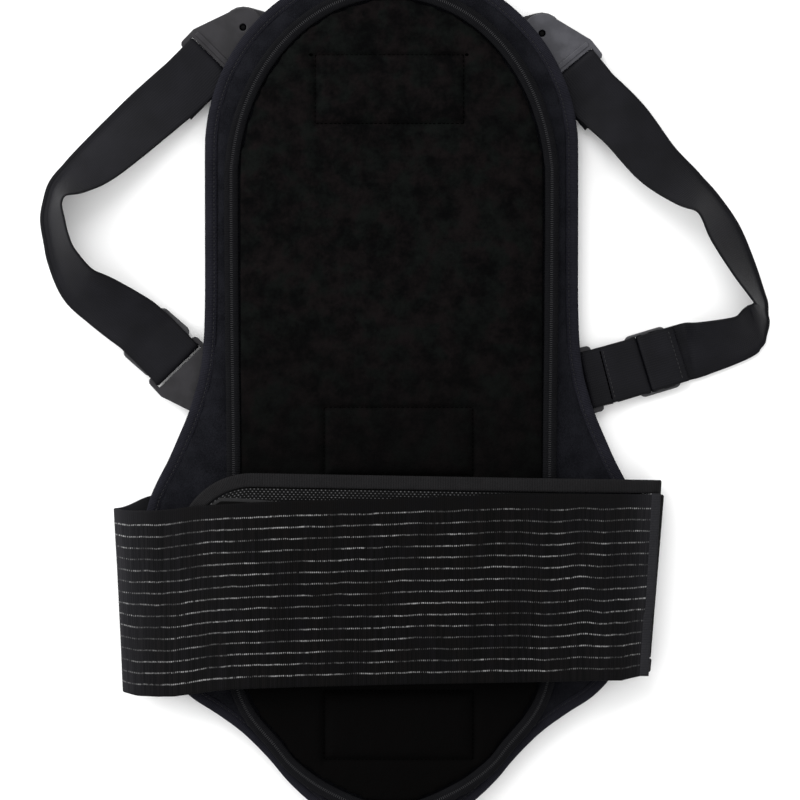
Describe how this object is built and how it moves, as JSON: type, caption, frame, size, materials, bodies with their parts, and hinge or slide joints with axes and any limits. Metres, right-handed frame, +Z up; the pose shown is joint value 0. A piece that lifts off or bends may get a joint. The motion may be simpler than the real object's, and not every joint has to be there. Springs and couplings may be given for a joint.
{
  "type": "waist protector",
  "caption": "Padded back and waist protector with hard shell, fleece pad, webbing shoulder straps on moulded anchors and a wide striped elastic waist belt over a mesh wing, lying body side up.",
  "frame": {"origin": "middle of the shell's flat outer face, on the panel's middle line, where the part lies on the surface", "axes": "+Z up from the surface towards the wearer's back, +Y towards the shoulders, +X to the right as seen from above"},
  "size_m": [0.4811, 0.583, 0.04],
  "materials": {
    "back_shell": "matt moulded plastic",
    "back_panel": "black knitted cloth over padding",
    "back_panel_binding": "black woven binding tape",
    "inner_pad": "black fleece",
    "inner_pad_binding": "black overlocked tape",
    "strap_anchor": "dark grey moulded plastic",
    "rivet": "black painted",
    "slider": "black moulded plastic",
    "webbing": "black woven webbing",
    "elastic_belt": "ribbed black elastic with thin white stripes",
    "under_belt": "black open mesh cloth",
    "under_belt_binding": "black woven binding tape"
  },
  "bodies": {
    "root": {"back_shell": "back_shell", "back_panel": "back_panel", "back_panel_binding": "back_panel_binding", "inner_pad": "inner_pad", "inner_pad_binding": "inner_pad_binding", "strap_anchor_upper_left": "strap_anchor", "strap_anchor_upper_right": "strap_anchor", "strap_anchor_lower_left": "strap_anchor", "strap_anchor_lower_right": "strap_anchor", "rivet_upper_left": "rivet", "rivet_upper_right": "rivet", "rivet_lower_left": "rivet", "rivet_lower_right": "rivet", "slider_left": "slider", "slider_right": "slider", "shoulder_strap_left": "webbing", "shoulder_strap_right": "webbing", "anchor_strap_right": "webbing", "elastic_belt": "elastic_belt", "under_belt": "under_belt", "under_belt_binding": "under_belt_binding"}
  },
  "joints": []
}
